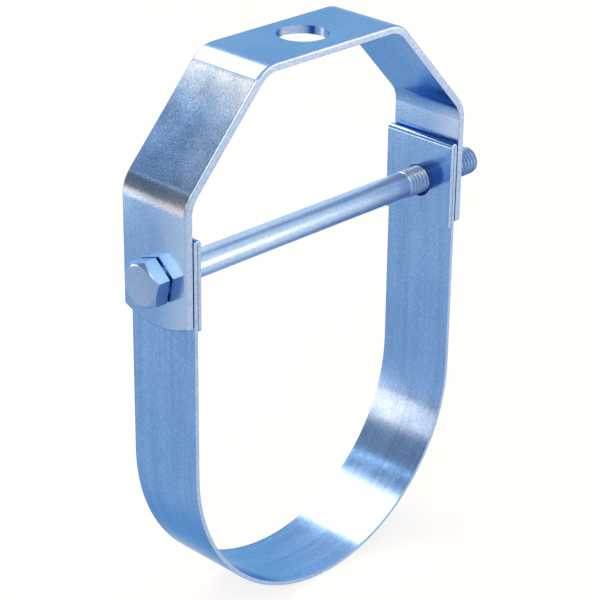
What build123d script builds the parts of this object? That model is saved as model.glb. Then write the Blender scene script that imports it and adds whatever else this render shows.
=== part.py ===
from build123d import *
import os

# Clevis pipe hanger for 4 inch iron pipe, all sizes in millimetres.
# A bent-bar yoke hangs on a threaded rod, a cross bolt joins its two legs, and a
# U-shaped strap swings on that bolt and carries the pipe.
#
# Frame: origin at the centre of the rod hole on the yoke's top face, +Z up along the
# rod, +X along the cross bolt towards its nut, +Y along the pipe.

# --- pipe and strap --------------------------------------------------------------
pipe_diameter = 114.3        # 4 inch iron pipe, outside
pipe_clearance = 1.05        # radial room between pipe and strap
strap_thickness = 1.4
strap_width = 28.6
strap_edge_round = 0.3       # rolled edges of the thin strip
saddle_drop = 64.7           # bolt axis down to the centre of the strap's round bottom
hem_rise = 16.1              # bolt axis up to the crown of the folded strap end
hem_tail = 13.9              # bolt axis down to the end of the folded layer
hem_slit = 0.2               # slit left between the two folded layers

# --- yoke ------------------------------------------------------------------------
yoke_thickness = 2.8
yoke_width = 28.6
yoke_edge_round = 0.9        # rolled outer edges of the flat bar
yoke_inner_round = 0.3       # its inner edges
yoke_side_gap = 0.4          # yoke leg to strap leg, each side
yoke_height = 64.0           # bolt axis up to the top face
yoke_top_half = 30.0         # half width of the flat top, to its sharp outer corner
shoulder_rise = 28.3         # bolt axis up to the sharp outer shoulder corner
yoke_bend_radius = 8.5       # inside radius of the four bends
leg_tail = 12.2              # bolt axis down to the corners of a leg's end
leg_end_bulge = 3.4          # how far the rounded leg end drops below its corners
rod_hole_radius = 8.35       # passes a 5/8 inch rod

# --- cross bolt and nut, 3/8 inch --------------------------------------------------
shank_radius = 4.43          # plain body, at the thread's pitch diameter
thread_radius = 4.76         # crest of the thread
bolt_length = 146.05         # underside of the head to the tip
thread_length = 33.0
thread_runout = 0.8          # cone between the body and the thread
tip_chamfer = 1.2
head_across_flats = 14.29
head_height = 5.95
washer_face_height = 0.4
washer_face_share = 0.95     # washer face diameter over the width across flats
hex_face_share = 0.91        # flat face inside the bevel, over the width across flats
head_turn = 41.0             # degrees, a head corner from +Y towards +Z
nut_across_flats = 14.29
nut_height = 8.33
nut_turn = 30.0              # degrees, a nut corner from +Y towards +Z
hex_crown_angle = 30.0       # degrees, bevel that rounds the hexagon's corners
nut_bore_clearance = 0.05
seat_gap = 0.1               # head or nut to the yoke leg
hole_clearance = 0.79        # thread crest to the bolt holes, on the radius
hang_offset = 0.45           # bolt rests low in the yoke's holes, strap hangs on the bolt

# --- sizes that follow -------------------------------------------------------------
saddle_radius = pipe_diameter / 2 + pipe_clearance
strap_half = saddle_radius + strap_thickness
yoke_inner_half = strap_half + yoke_side_gap
yoke_half = yoke_inner_half + yoke_thickness
bolt_z = -yoke_height
saddle_z = bolt_z - saddle_drop
bolt_hole_radius = thread_radius + hole_clearance
head_seat_x = -yoke_half - seat_gap
tip_x = head_seat_x + bolt_length
nut_seat_x = yoke_half + seat_gap


def yoke_silhouette():
    """Side view of the yoke along the bolt: a bar with rounded leg ends."""
    y = yoke_width / 2
    z = bolt_z - leg_tail
    sides = Polyline((-y, z), (-y, 0), (y, 0), (y, z))
    end = ThreePointArc((y, z), (0, z - leg_end_bulge), (-y, z))
    return Plane.YZ * make_face([*sides.edges(), end.edge()])


def bent_strip(skin, thickness, width, side):
    """Strip of one thickness along an outer skin that is drawn in the front view."""
    inside = skin.offset_2d(thickness, side=side, closed=False)
    ends = [Line(skin @ end, nearest_end(inside, skin @ end)).edge() for end in (0, 1)]
    section = Plane.XZ * make_face([*skin.edges(), *inside.edges(), *ends])
    return extrude(section, amount=width / 2, both=True)


def nearest_end(wire, point):
    return min((wire @ 0, wire @ 1), key=lambda end: (end - point).length)


def rims(solid, skin, width, ends=False):
    """Edges where the skin of a bent strip meets its two sides, and its ends if asked."""
    placed = Plane.XZ * skin

    def on_rim(edge):
        middle = edge @ 0.5
        if ends and min((middle - placed @ end).length for end in (0, 1)) < 1e-3:
            return True
        at_side = abs(abs(middle.Y) - width / 2) < 1e-3
        return at_side and placed.distance_to(Vector(middle.X, 0, middle.Z)) < 1e-3

    return solid.edges().filter_by(on_rim)


def yoke_skin():
    """Front view of the bent bar's outer skin."""
    low = bolt_z - leg_tail - leg_end_bulge
    corners = [
        (-yoke_half, low),
        (-yoke_half, bolt_z + shoulder_rise),
        (-yoke_top_half, 0),
        (yoke_top_half, 0),
        (yoke_half, bolt_z + shoulder_rise),
        (yoke_half, low),
    ]
    return FilletPolyline(*corners, radius=yoke_bend_radius + yoke_thickness)


def cross_hole(height):
    """Cutter for the bolt's clearance hole through both legs."""
    return Pos(0, 0, height) * Rot(0, 90, 0) * Cylinder(bolt_hole_radius, 4 * yoke_half)


def make_yoke():
    skin = yoke_skin()
    bar = bent_strip(skin, yoke_thickness, yoke_width, Side.RIGHT)
    bar = bar & extrude(yoke_silhouette(), amount=2 * yoke_half, both=True)
    bar = fillet(rims(bar, skin, yoke_width, ends=True), yoke_edge_round)
    inner_skin = skin.offset_2d(yoke_thickness, side=Side.RIGHT, closed=False)
    bar = fillet(rims(bar, inner_skin, yoke_width), yoke_inner_round)
    bar -= Cylinder(rod_hole_radius, 4 * yoke_thickness)
    return bar - cross_hole(bolt_z + hang_offset)


def strap_skin():
    """Front view of the strap's skin: folded end, leg, half round, leg, folded end."""
    crown = strap_thickness + hem_slit / 2
    inner = strap_half - 2 * crown
    top = bolt_z + hem_rise - crown
    tail = bolt_z - hem_tail
    left = [
        Line((-inner, tail), (-inner, top)),
        ThreePointArc((-inner, top), (-inner - crown, top + crown), (-strap_half, top)),
        Line((-strap_half, top), (-strap_half, saddle_z)),
    ]
    bottom = ThreePointArc((-strap_half, saddle_z), (0, saddle_z - strap_half), (strap_half, saddle_z))
    right = [
        Line((strap_half, saddle_z), (strap_half, top)),
        ThreePointArc((strap_half, top), (inner + crown, top + crown), (inner, top)),
        Line((inner, top), (inner, tail)),
    ]
    return Wire([part.edge() for part in [*left, bottom, *right]])


def make_strap():
    skin = strap_skin()
    strip = bent_strip(skin, strap_thickness, strap_width, Side.LEFT)
    strip = fillet(rims(strip, skin, strap_width), strap_edge_round)
    return strip - cross_hole(bolt_z - hang_offset)


def hexagon(across_flats, turn, height):
    """Hexagonal bar along +X from x = 0, one corner at the angle turn."""
    outline = RegularPolygon(across_flats / 2, 6, major_radius=False, rotation=turn)
    return extrude(Plane.YZ * outline, amount=height)


def crown_cone(across_flats, height, both):
    """Turned blank whose bevels round the corners of a hexagon, along +X."""
    corner = across_flats / 2 / cos_deg(30)
    flat = across_flats / 2 * hex_face_share
    bevel = (corner - flat) * tan_deg(hex_crown_angle)
    near = [(0, flat), (bevel, corner)] if both else [(0, corner)]
    profile = Polyline((0, 0), *near, (height - bevel, corner), (height, flat), (height, 0), close=True)
    return revolve(make_face(profile), Axis.X)


def cos_deg(angle):
    return Vector(1, 0).rotate(Axis.Z, angle).X


def tan_deg(angle):
    turned = Vector(1, 0).rotate(Axis.Z, angle)
    return turned.Y / turned.X


def make_bolt():
    thread_x = tip_x - thread_length
    body = Polyline(
        (head_seat_x - head_height / 2, 0),
        (head_seat_x - head_height / 2, shank_radius),
        (thread_x - thread_runout, shank_radius),
        (thread_x, thread_radius),
        (tip_x - tip_chamfer, thread_radius),
        (tip_x, thread_radius - tip_chamfer),
        (tip_x, 0),
        close=True,
    )
    shaft = revolve(make_face(body), Axis.X)
    hex_height = head_height - washer_face_height
    hexed = hexagon(head_across_flats, head_turn, hex_height) & crown_cone(head_across_flats, hex_height, False)
    head = Pos(head_seat_x - washer_face_height, 0, 0) * mirror(hexed, Plane.YZ)
    collar = Pos(head_seat_x - washer_face_height / 2, 0, 0) * Rot(0, 90, 0) * Cylinder(
        head_across_flats / 2 * washer_face_share, washer_face_height
    )
    return Pos(0, 0, bolt_z) * (shaft + head + collar)


def make_nut():
    blank = hexagon(nut_across_flats, nut_turn, nut_height) & crown_cone(nut_across_flats, nut_height, True)
    bore = Rot(0, 90, 0) * Cylinder(thread_radius + nut_bore_clearance, 4 * nut_height)
    return Pos(nut_seat_x, 0, bolt_z) * (blank - bore)


nodes = {
    "yoke": make_yoke,
    "u_strap": make_strap,
    "cross_bolt": make_bolt,
    "hex_nut": make_nut,
}

os.makedirs("parts", exist_ok=True)
for node, make in nodes.items():
    export_step(make(), f"parts/{node}.step")
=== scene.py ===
import math

import bmesh
import bpy
from mathutils import Matrix, Vector


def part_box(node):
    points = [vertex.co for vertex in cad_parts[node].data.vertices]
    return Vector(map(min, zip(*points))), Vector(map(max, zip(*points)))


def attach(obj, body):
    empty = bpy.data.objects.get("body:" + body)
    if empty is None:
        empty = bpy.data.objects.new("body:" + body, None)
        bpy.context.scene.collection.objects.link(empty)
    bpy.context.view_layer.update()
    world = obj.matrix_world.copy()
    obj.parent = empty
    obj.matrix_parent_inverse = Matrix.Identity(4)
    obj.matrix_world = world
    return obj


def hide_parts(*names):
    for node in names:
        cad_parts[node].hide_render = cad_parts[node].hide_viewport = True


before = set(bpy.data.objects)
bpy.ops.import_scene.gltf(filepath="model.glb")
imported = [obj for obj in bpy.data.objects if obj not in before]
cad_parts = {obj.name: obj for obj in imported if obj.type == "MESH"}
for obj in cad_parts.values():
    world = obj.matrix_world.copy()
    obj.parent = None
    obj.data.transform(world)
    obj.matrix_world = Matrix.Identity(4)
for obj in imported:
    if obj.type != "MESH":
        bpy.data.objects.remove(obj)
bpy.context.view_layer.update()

# --- sizes of the hanger that the pieces below share with the solids, in metres -----
BOLT_Z = -0.064              # bolt axis below the yoke's top face
HEAD_SEAT_X = -0.0629        # underside of the bolt head
HEAD_FLATS = 0.01429         # hexagon, across flats
HEAD_HEIGHT = 0.00595
HEAD_FACE_SHARE = 0.91       # flat face inside the bevel, over the width across flats
HEAD_TURN = math.radians(41)     # a head corner, from +Y towards +Z
WASHER_FACE = 0.0004         # height of the round face under the head
SHANK_R = 0.00443
CREST_R = 0.00476            # thread crest
ROOT_R = 0.00392             # thread root
PITCH = 0.0254 / 16
TIP_X = HEAD_SEAT_X + 0.14605    # bolt length, under the head to the tip
THREAD_X = TIP_X - 0.035         # start of the thread
TIP_CHAMFER = 0.0012
RUNOUT_TURNS = 0.5           # turns over which the thread grows out of the body
SHAFT_IN_HEAD = 0.002
WASHER_SHARE = 0.95          # round face under the head, over the width across flats
HEAD_EDGE = 0.00018          # small bevel on the head's edges
BEVEL_SLOPE = math.tan(math.radians(30))

# --- camera ---------------------------------------------------------------------------
CAM_AZ = math.radians(-45.657)
CAM_EL = math.radians(24.974)
CAM_ROLL = math.radians(0.697)
CAM_DIST = 0.707036
CAM_TARGET = Vector((0.000309, 0, BOLT_Z - 0.026981))
CAM_LENS = 129.94
SENSOR = 36.0

# --- finish ---------------------------------------------------------------------------
PLAIN = (1, 1, 1)                # noise that is not stretched
BUMP_DEPTH = 0.0002
GRAIN_SIZE = 1500.0              # noise scales, per metre
CLOUD_SIZE = 38.0
PATCH_SIZE = 130.0
DOT_SIZE = 1900.0
TEAR_SIZE = 1300.0
GRAZING_TINT = (0.58, 0.80, 0.97)    # keeps surfaces seen at a low angle blue
CUT_EDGE = ((0.32, 0.48, 0.74), (0.47, 0.62, 0.86))
# painted highlight: colour of a lighter band along the yoke's front edge
PAINTED_SHEEN_BAND = (0.46, 0.62, 0.84)
THREAD_TONE = (0.54, 0.61, 0.72)
# painted shade on faces turned down
UNDER_PAINTED_SHADE = (0.62, 0.71, 0.88)
# heights over which the yoke's shoulders get their specks, and from the yoke's top to the
# foot of its lower bend
SPECKS_BEGIN = (-0.002, -0.012)
SPECKS_END = (-0.044, -0.034)
SHOULDER_HEIGHT = (-0.0005, -0.0401)
# painted light on the yoke over that height, from its top (0) to the foot of the lower bend (1): a
# painted highlight across the upper bend, then painted shade, going brownish, towards the lower
# bend
SHOULDER_PAINTED_LIGHT = [
    (0.000, 1.0),
    (0.075, 1.0),
    (0.110, (2.20, 1.75, 1.30)),
    (0.200, (1.50, 1.30, 1.12)),
    (0.360, (0.93, 0.96, 1.0)),
    (0.620, (0.72, 0.77, 0.85)),
    (0.790, (0.50, 0.53, 0.60)),
    (0.870, (0.85, 0.72, 0.60)),
    (0.950, (1.12, 0.92, 0.74)),
    (1.000, 1.0),
]
# strength of the painted highlight band along the front edge over the same height
BAND_SHARE = [(0.0, 0.0), (0.25, 0.5), (0.75, 0.35), (1.0, 1.0)]

# --- light ----------------------------------------------------------------------------
FLOOR_HALF = 4.0
FLOOR_GAP = 0.0002               # floor below the strap
PAPER = 0.82
PAPER_SHARE = 0.22               # of lit paper in what the camera and reflections see
FLOOR_TO_CAMERA = 0.84
# painted shadow: the floor seen in reflections is darker near the object
FLOOR_PAINTED_SHADE_IN_REFLECTIONS = (0.46, 0.76)      # near the object and away from it
FLOOR_REACH = (0.03, 0.22)       # distances from the yoke's top for these two
ROOM_LEVEL = 0.5
DARK_CORNER = (-0.70, 0.60, 0.33)
CORNER_TONE = (0.58, 0.52, 0.50)
CORNER_FADE = (math.radians(36), math.radians(20))
LAMP_TARGET = (0, 0, -0.09)
STRAP_RISE = (0.055, 0, -0.149)          # far side of the strap's round bottom
LOWER_RISE = (0.043, 0, -0.168)
BOLT_HEAD = (-0.07, 0, BOLT_Z)
WARM = (1.0, 0.62, 0.38)
# name, place, aim, size, brightness, colour
LAMPS = [
    ("overhead_box", (-0.055, 0.885, 1.12), LAMP_TARGET, (0.96, 0.9), 6.5, WARM),
    ("back_box_high", (-0.236, 0.262, -0.085), STRAP_RISE, (0.12, 0.10), 4.4, (1.0, 0.54, 0.32)),
    ("back_box_low", (-0.226, 0.274, -0.158), STRAP_RISE, (0.08, 0.024), 4.4, (1.0, 0.60, 0.40)),
    ("streak_box", (-0.33, 0.507, 0.325), LOWER_RISE, (0.22, 0.03), 2.6, (1.0, 1.0, 0.9)),
    ("front_box", (0.648, -0.755, 0.0), LAMP_TARGET, (0.5, 0.34), 4.6, WARM),
    ("bevel_box", (-1.45, 0.04, 0.33), BOLT_HEAD, (0.5, 0.4), 4.0, WARM),
    ("head_box", (-1.04, -0.50, 0.97), BOLT_HEAD, (0.7, 0.6), 7.2, (1.0, 0.58, 0.25)),
]


# --- node helpers ----------------------------------------------------------------------
def new_material(name):
    """An empty node material and its tree."""
    mat = bpy.data.materials.new(name)
    mat.use_nodes = True
    tree = mat.node_tree
    tree.nodes.clear()
    return mat, tree


def add(tree, kind, **values):
    """A node with its settings and its sockets' values."""
    node = tree.nodes.new(kind)
    for key, value in values.items():
        if key in node.inputs:
            node.inputs[key].default_value = value
        else:
            setattr(node, key, value)
    return node


def link(tree, source, out, target, into):
    """Join a source's output to a target's input."""
    tree.links.new(source.outputs[out], target.inputs[into])


def ramp(tree, source, out, stops):
    """A colour ramp over (position, grey or colour) stops."""
    node = tree.nodes.new("ShaderNodeValToRGB")
    link(tree, source, out, node, "Fac")
    elements = node.color_ramp.elements
    while len(elements) < len(stops):
        elements.new(0.5)
    for element, (place, value) in zip(elements, stops):
        element.position = place
        element.color = (value, value, value, 1) if isinstance(value, float) else (*value, 1)
    return node


def mix(tree, factor, first, second, kind="MIX"):
    """Colour mix; each argument is a (node, output) pair or a plain value."""
    node = add(tree, "ShaderNodeMix", data_type="RGBA", blend_type=kind)
    for index, value in ((0, factor), (6, first), (7, second)):
        if isinstance(value, tuple) and hasattr(value[0], "outputs"):
            tree.links.new(value[0].outputs[value[1]], node.inputs[index])
        elif index == 0:
            node.inputs[0].default_value = value
        else:
            node.inputs[index].default_value = (*value, 1)
    return node


def scaled_coords(tree, scale):
    """Object coordinates, stretched by a scale along each axis."""
    coords = tree.nodes.new("ShaderNodeTexCoord")
    mapping = add(tree, "ShaderNodeMapping")
    mapping.inputs["Scale"].default_value = scale
    link(tree, coords, "Object", mapping, "Vector")
    return mapping


def noise(tree, scale, size, detail=3.0, rough=0.55):
    """Noise over stretched object coordinates."""
    node = add(tree, "ShaderNodeTexNoise", Scale=size, Detail=detail, Roughness=rough)
    link(tree, scaled_coords(tree, scale), "Vector", node, "Vector")
    return node


def map_range(tree, source, out, low, high, to_low, to_high, smooth=False):
    """A value carried from one range to another, held at the ends."""
    node = add(tree, "ShaderNodeMapRange", interpolation_type="SMOOTHSTEP" if smooth else "LINEAR")
    limits = {"From Min": low, "From Max": high, "To Min": to_low, "To Max": to_high}
    for name, value in limits.items():
        node.inputs[name].default_value = value
    link(tree, source, out, node, "Value")
    return node


def split_coords(tree, kind):
    """X, Y and Z of the object's coordinates or of its normal."""
    coords = tree.nodes.new("ShaderNodeTexCoord")
    axes = tree.nodes.new("ShaderNodeSeparateXYZ")
    link(tree, coords, kind, axes, "Vector")
    return axes


def tint(tree, colour, by, where=1.0):
    """Multiply a colour, all over or where a mask is 1."""
    return mix(tree, where, (colour, 2), by, "MULTIPLY")


def product(tree, first, second):
    """Product of two (node, output) pairs."""
    node = add(tree, "ShaderNodeMath", operation="MULTIPLY")
    link(tree, *first, node, 0)
    link(tree, *second, node, 1)
    return node


# --- zinc plate ---------------------------------------------------------------------------
def side_mask(tree):
    """1 on the sheared sides of a strip, which face along Y, and 0 on its skins."""
    size = add(tree, "ShaderNodeMath", operation="ABSOLUTE")
    link(tree, split_coords(tree, "Normal"), "Y", size, 0)
    return map_range(tree, size, "Value", 0.55, 0.92, 0.0, 1.0, True)


def plate_colour(tree, dark, light, spread):
    """Cloudy tone between two colours, with fine specks."""
    cloud = noise(tree, PLAIN, CLOUD_SIZE, 2.0, 0.5)
    tone = ramp(tree, cloud, "Fac", [(0.36, dark), (0.64, light)])
    speck = noise(tree, PLAIN, GRAIN_SIZE, 2.0, 0.5)
    specks = ramp(tree, speck, "Fac", [(0.36, 1 - spread), (0.5, 1.0), (0.64, 1 + spread)])
    return mix(tree, 1.0, (tone, "Color"), (specks, "Color"), "MULTIPLY")


def rolling_lines(tree, colour, size):
    """Faint lines across the strip's bends, along its length."""
    lines = noise(tree, (0.03, 1, 0.03), size, 3.0, 0.65)
    shades = ramp(tree, lines, "Fac", [(0.34, 0.90), (0.5, 1.0), (0.66, 1.05)])
    return tint(tree, colour, (shades, "Color"))


def yoke_specks_and_painted_light(tree, colour, band):
    """Painted highlight as a lighter band near the front edge, specks on the shoulders, and
    painted highlight and shade on the shoulders as a change of tone.
    """
    place = split_coords(tree, "Object")
    height = map_range(tree, place, "Z", *SHOULDER_HEIGHT, 0.0, 1.0)
    share = ramp(tree, height, "Result", BAND_SHARE)
    # painted highlight: lighter colour towards the front edge, weighted by height
    front = map_range(tree, place, "Y", *band, 0.0, 0.52, True)
    painted_sheen = product(tree, (front, "Result"), (share, "Color"))
    colour = mix(tree, (painted_sheen, "Value"), (colour, 2), PAINTED_SHEEN_BAND)
    begin = map_range(tree, place, "Z", *SPECKS_BEGIN, 0.0, 1.0, True)
    end = map_range(tree, place, "Z", *SPECKS_END, 0.0, 1.0, True)
    shoulder = product(tree, (begin, "Result"), (end, "Result"))
    dots = noise(tree, PLAIN, DOT_SIZE, 4.0, 0.7)
    dotted = ramp(tree, dots, "Fac", [(0.38, 0.84), (0.50, 1.0), (0.62, 1.25)])
    colour = tint(tree, colour, (dotted, "Color"), (shoulder, "Value"))
    # painted highlight on the upper bend and painted shade towards the lower bend, on faces not
    # turned down
    painted_light_ramp = ramp(tree, height, "Result", SHOULDER_PAINTED_LIGHT)
    outer = map_range(tree, split_coords(tree, "Normal"), "Z", -0.12, 0.0, 0.0, 1.0)
    return tint(tree, colour, (painted_light_ramp, "Color"), (outer, "Result"))


def thread_tone(tree, colour, start):
    """Duller metal where the thread is cut, from a place along X on."""
    cut = map_range(tree, split_coords(tree, "Object"), "X", start, start + 0.0006, 0.0, 1.0)
    return tint(tree, colour, THREAD_TONE, (cut, "Result"))


def torn_sides(tree, colour, gloss, bump):
    """Lighter, duller, coarse grain on a strip's sheared sides; returns the three changed."""
    side = side_mask(tree)
    tear = noise(tree, (1, 0.35, 1), TEAR_SIZE, 3.0, 0.65)
    torn = ramp(tree, tear, "Fac", [(0.34, CUT_EDGE[0]), (0.62, CUT_EDGE[1])])
    colour = mix(tree, (side, "Result"), (colour, 2), (torn, "Color"))
    coarse = add(tree, "ShaderNodeBump", Strength=0.25, Distance=BUMP_DEPTH)
    link(tree, tear, "Fac", coarse, "Height")
    blend = add(tree, "ShaderNodeMix", data_type="VECTOR")
    link(tree, side, "Result", blend, 0)
    link(tree, bump, "Normal", blend, 4)
    link(tree, coarse, "Normal", blend, 5)
    dull = add(tree, "ShaderNodeMath", operation="MULTIPLY_ADD")
    link(tree, side, "Result", dull, 0)
    dull.inputs[1].default_value = 0.12
    link(tree, gloss, "Result", dull, 2)
    return colour, (dull, "Value"), (blend, 1)


def zinc(name, dark, light, rough, bump, **look):
    """Bright zinc plate: blue-silver metal with a faint cloudy tone, specks and fine grain, and
    painted shade on faces turned down.
    """
    mat, tree = new_material(name)
    out = tree.nodes.new("ShaderNodeOutputMaterial")
    shader = add(tree, "ShaderNodeBsdfPrincipled", Metallic=look.get("metal", 1.0))
    shader.inputs["Specular Tint"].default_value = (*look.get("graze", GRAZING_TINT), 1)
    link(tree, shader, "BSDF", out, "Surface")
    colour = plate_colour(tree, dark, light, look.get("spread", 0.10))
    if "streaks" in look:
        colour = rolling_lines(tree, colour, look["streaks"])
    if "band" in look:
        colour = yoke_specks_and_painted_light(tree, colour, look["band"])
    if "thread" in look:
        colour = thread_tone(tree, colour, look["thread"])
    # painted shade: darker colour on faces turned down
    under = map_range(tree, split_coords(tree, "Normal"), "Z", -0.05, -0.5, 0.0, 1.0, True)
    colour = tint(tree, colour, UNDER_PAINTED_SHADE, (under, "Result"))
    patch = noise(tree, PLAIN, PATCH_SIZE, 3.0, 0.6)
    gloss = map_range(tree, patch, "Fac", 0.3, 0.7, rough - 0.04, rough + 0.05)
    grain = add(tree, "ShaderNodeBump", Strength=bump, Distance=BUMP_DEPTH)
    link(tree, noise(tree, PLAIN, GRAIN_SIZE, 3.0, 0.6), "Fac", grain, "Height")
    roughness, normal = (gloss, "Result"), (grain, "Normal")
    if look.get("sheared"):
        colour, roughness, normal = torn_sides(tree, colour, gloss, grain)
    link(tree, colour, 2, shader, "Base Color")
    link(tree, *roughness, shader, "Roughness")
    link(tree, *normal, shader, "Normal")
    return mat


def dress(node, material):
    """Give a CAD piece its material."""
    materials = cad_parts[node].data.materials
    materials.clear()
    materials.append(material)


# --- cross bolt ---------------------------------------------------------------------------
def thread_profile(t):
    """Height of the thread over one pitch, t from 0 to 1: 1 on its flat crest, 0 in its root."""
    flank_share = 0.36
    crest_share = 0.16
    root_share = 1 - 2 * flank_share - crest_share
    if t < crest_share:
        return 1.0
    t -= crest_share
    if t < flank_share:
        return 1 - t / flank_share
    t -= flank_share
    if t < root_share:
        return 0.0
    return (t - root_share) / flank_share


def shaft_radius(x, angle):
    """Radius of the shaft at x and angle: plain body, run-out, thread, tip bevel."""
    if x <= THREAD_X:
        return SHANK_R
    turns = (x - THREAD_X) / PITCH - angle / math.tau
    form = thread_profile(turns % 1.0)
    deep = min(1.0, (x - THREAD_X) / (RUNOUT_TURNS * PITCH))
    root = SHANK_R + (ROOT_R - SHANK_R) * deep
    crest = SHANK_R + (CREST_R - SHANK_R) * deep
    radius = root + (crest - root) * form
    return min(radius, CREST_R - TIP_CHAMFER + (TIP_X - x))


def hex_radius(angle):
    """Distance from the bolt's axis to the side of the head at an angle."""
    local = (angle - HEAD_TURN) % math.radians(60) - math.radians(30)
    return HEAD_FLATS / 2 / math.cos(local)


def ring(mesh, segments, turn, rule):
    """Ring of points about the bolt's axis; rule gives x and radius for an angle."""
    points = []
    for k in range(segments):
        angle = turn + math.tau * k / segments
        x, r = rule(angle)
        points.append(mesh.verts.new((x, r * math.cos(angle), BOLT_Z + r * math.sin(angle))))
    return points


def skin(mesh, rings):
    """Faces between neighbouring rings, and a cap at each end."""
    for a, b in zip(rings, rings[1:]):
        for k in range(len(a)):
            n = (k + 1) % len(a)
            mesh.faces.new((a[k], a[n], b[n], b[k]))
    mesh.faces.new(rings[-1])
    mesh.faces.new(list(reversed(rings[0])))
    return mesh


def make_bolt_shaft(segments=72, steps_per_pitch=14):
    """Plain body and helical thread; the body starts inside the head."""
    places = [HEAD_SEAT_X - SHAFT_IN_HEAD, THREAD_X]
    count = int((TIP_X - THREAD_X) / PITCH * steps_per_pitch)
    places += [THREAD_X + (TIP_X - THREAD_X) * i / count for i in range(1, count + 1)]
    mesh = bmesh.new()
    return skin(mesh, [ring(mesh, segments, 0, lambda a: (x, shaft_radius(x, a))) for x in places])


def make_head(segments=144):
    """Hexagon head with a washer face, its outer corners cut by a shallow cone."""
    seat = HEAD_SEAT_X
    under = seat - WASHER_FACE
    top = seat - HEAD_HEIGHT
    washer_r = HEAD_FLATS / 2 * WASHER_SHARE
    face_r = HEAD_FLATS / 2 * HEAD_FACE_SHARE

    def bevel_x(r):
        return top + max(0.0, r - face_r) * BEVEL_SLOPE

    rules = [
        lambda a: (seat, washer_r - 0.0001),
        lambda a: (seat - 0.0001, washer_r),
        lambda a: (under, washer_r),
        lambda a: (under, hex_radius(a) - HEAD_EDGE),
        lambda a: (under - HEAD_EDGE, hex_radius(a)),
        lambda a: (bevel_x(hex_radius(a)) + HEAD_EDGE, hex_radius(a)),
        lambda a: (bevel_x(hex_radius(a) - HEAD_EDGE), hex_radius(a) - HEAD_EDGE),
        lambda a: (bevel_x(face_r) + 0.00002, face_r),
        lambda a: (top, face_r - 0.0003),
        lambda a: (top, face_r - 0.0012),
    ]
    mesh = bmesh.new()
    return skin(mesh, [ring(mesh, segments, HEAD_TURN, rule) for rule in rules])


def to_object(name, mesh, smooth_angle=30):
    """Object from a mesh, smooth where its faces meet at less than an angle in degrees."""
    bmesh.ops.recalc_face_normals(mesh, faces=mesh.faces)
    data = bpy.data.meshes.new(name)
    mesh.to_mesh(data)
    mesh.free()
    obj = bpy.data.objects.new(name, data)
    bpy.context.collection.objects.link(obj)
    data.shade_smooth()
    data.set_sharp_from_angle(angle=math.radians(smooth_angle))
    return obj


def make_bolt(shaft_material, head_material):
    """Shaft and head that stand for the solid bolt and move with it."""
    shaft = to_object("bolt_shaft", make_bolt_shaft(), 40)
    head = to_object("bolt_head", make_head(), 25)
    for piece, material in ((shaft, shaft_material), (head, head_material)):
        piece.data.materials.append(material)
        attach(piece, "cross_bolt")
        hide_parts("cross_bolt")


# --- stage, light and camera ---------------------------------------------------------------
def pick_by_ray(tree, rays, shown, other, out):
    """One shader for the camera, reflections and refractions, and another for the rest."""
    seen = (rays, "Is Camera Ray")
    for name in ("Is Glossy Ray", "Is Transmission Ray"):
        highest = add(tree, "ShaderNodeMath", operation="MAXIMUM")
        link(tree, *seen, highest, 0)
        link(tree, rays, name, highest, 1)
        seen = (highest, "Value")
    pick = tree.nodes.new("ShaderNodeMixShader")
    link(tree, *seen, pick, "Fac")
    link(tree, *other, pick, 1)
    link(tree, *shown, pick, 2)
    link(tree, pick, "Shader", out, "Surface")


def make_floor():
    """Pale floor, white to the camera, with the object's soft shadow, and a painted shadow near
    the object in reflections.
    """
    mesh = bmesh.new()
    half = FLOOR_HALF
    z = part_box("u_strap")[0].z - FLOOR_GAP
    corners = [(-half, -half, z), (half, -half, z), (half, half, z), (-half, half, z)]
    mesh.faces.new([mesh.verts.new(c) for c in corners])
    floor = to_object("floor", mesh)
    mat, tree = new_material("floor_white")
    out = tree.nodes.new("ShaderNodeOutputMaterial")
    paper = add(tree, "ShaderNodeBsdfDiffuse")
    paper.inputs["Color"].default_value = (PAPER, PAPER, PAPER, 1)
    glow = tree.nodes.new("ShaderNodeEmission")
    coords = tree.nodes.new("ShaderNodeTexCoord")
    reach = add(tree, "ShaderNodeVectorMath", operation="LENGTH")
    link(tree, coords, "Object", reach, 0)
    # painted shadow: in reflections the floor gets darker towards the object
    level = map_range(tree, reach, "Value", *FLOOR_REACH, *FLOOR_PAINTED_SHADE_IN_REFLECTIONS, True)
    rays = tree.nodes.new("ShaderNodeLightPath")
    strength = add(tree, "ShaderNodeMix", data_type="FLOAT")
    link(tree, rays, "Is Camera Ray", strength, 0)
    link(tree, level, "Result", strength, 2)
    strength.inputs[3].default_value = FLOOR_TO_CAMERA
    link(tree, strength, 0, glow, "Strength")
    part_paper = tree.nodes.new("ShaderNodeMixShader")
    part_paper.inputs["Fac"].default_value = PAPER_SHARE
    black = add(tree, "ShaderNodeEmission", Strength=0.0)
    link(tree, black, "Emission", part_paper, 1)
    link(tree, paper, "BSDF", part_paper, 2)
    shown = tree.nodes.new("ShaderNodeAddShader")
    link(tree, part_paper, "Shader", shown, 0)
    link(tree, glow, "Emission", shown, 1)
    pick_by_ray(tree, rays, (shown, "Shader"), (paper, "BSDF"), out)
    floor.data.materials.append(mat)


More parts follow.
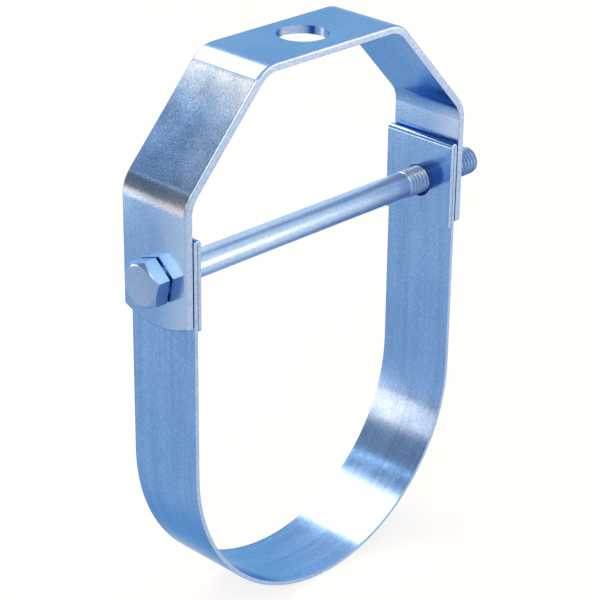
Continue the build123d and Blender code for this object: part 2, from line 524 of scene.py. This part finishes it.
def make_world():
    """White room: white to the camera, with a darker far corner in reflections, soft elsewhere."""
    world = bpy.data.worlds.new("studio")
    bpy.context.scene.world = world
    world.use_nodes = True
    tree = world.node_tree
    tree.nodes.clear()
    out = tree.nodes.new("ShaderNodeOutputWorld")
    soft = add(tree, "ShaderNodeBackground", Strength=ROOM_LEVEL)
    soft.inputs["Color"].default_value = (1, 1, 1, 1)
    white = add(tree, "ShaderNodeBackground", Strength=1.0)
    coords = tree.nodes.new("ShaderNodeTexCoord")
    aim = add(tree, "ShaderNodeVectorMath", operation="DOT_PRODUCT")
    aim.inputs[1].default_value = Vector(DARK_CORNER).normalized()
    link(tree, coords, "Generated", aim, 0)
    fade = [math.cos(angle) for angle in CORNER_FADE]
    inside = map_range(tree, aim, "Value", *fade, 0.0, 1.0, True)
    corner = mix(tree, (inside, "Result"), (1.0, 1.0, 1.0), CORNER_TONE)
    rays = tree.nodes.new("ShaderNodeLightPath")
    plain = mix(tree, (rays, "Is Camera Ray"), (corner, 2), (1.0, 1.0, 1.0))
    tree.links.new(plain.outputs[2], white.inputs["Color"])
    pick_by_ray(tree, rays, (white, "Background"), (soft, "Background"), out)


def make_lamp(name, place, aim, size, brightness, colour):
    """Soft box at a place, turned to aim at a point; brightness 1 is as bright as white paper."""
    data = bpy.data.lights.new(name, "AREA")
    data.shape = "RECTANGLE"
    data.size, data.size_y = size
    data.energy = brightness * math.pi * size[0] * size[1]
    data.color = colour
    lamp = bpy.data.objects.new(name, data)
    bpy.context.collection.objects.link(lamp)
    lamp.location = place
    lamp.rotation_euler = (Vector(place) - Vector(aim)).to_track_quat("Z", "Y").to_euler()
    lamp.visible_camera = False


def make_camera():
    """Camera on a sphere about its target, with a slight roll."""
    data = bpy.data.cameras.new("camera")
    data.sensor_width = SENSOR
    data.lens = CAM_LENS
    data.clip_start = 0.01
    camera = bpy.data.objects.new("camera", data)
    bpy.context.collection.objects.link(camera)
    back = Vector((
        math.sin(CAM_AZ) * math.cos(CAM_EL),
        -math.cos(CAM_AZ) * math.cos(CAM_EL),
        math.sin(CAM_EL),
    ))
    side = Vector((math.cos(CAM_AZ), math.sin(CAM_AZ), 0))
    top = back.cross(side)
    right = math.cos(CAM_ROLL) * side + math.sin(CAM_ROLL) * top
    up = -math.sin(CAM_ROLL) * side + math.cos(CAM_ROLL) * top
    place = CAM_TARGET + back * CAM_DIST
    camera.matrix_world = Matrix((
        (right.x, up.x, back.x, place.x),
        (right.y, up.y, back.y, place.y),
        (right.z, up.z, back.z, place.z),
        (0, 0, 0, 1),
    ))
    bpy.context.scene.camera = camera


def main():
    """Dress the pieces, stand in for the bolt, and set the stage."""
    # the yoke's band sets how far its painted highlight reaches from the front edge
    yoke_zinc = zinc("yoke_zinc", (0.160, 0.320, 0.615), (0.190, 0.355, 0.655), 0.20, 0.02,
                     sheared=True, band=(0.002, -0.0145))
    strap_zinc = zinc("strap_zinc", (0.158, 0.330, 0.655), (0.186, 0.365, 0.695), 0.17, 0.02,
                      sheared=True, streaks=420.0, graze=(0.52, 0.76, 0.95))
    shaft_zinc = zinc("bolt_shaft_zinc", (0.43, 0.65, 0.92), (0.50, 0.71, 0.97), 0.36, 0.05,
                      metal=0.84, thread=THREAD_X)
    head_zinc = zinc("bolt_head_zinc", (0.22, 0.36, 0.62), (0.26, 0.40, 0.66), 0.20, 0.02,
                     spread=0.05)
    dress("yoke", yoke_zinc)
    dress("u_strap", strap_zinc)
    dress("hex_nut", head_zinc)
    make_bolt(shaft_zinc, head_zinc)
    make_floor()
    make_world()
    for lamp in LAMPS:
        make_lamp(*lamp)
    make_camera()
    bpy.context.scene.view_settings.view_transform = "Standard"


main()
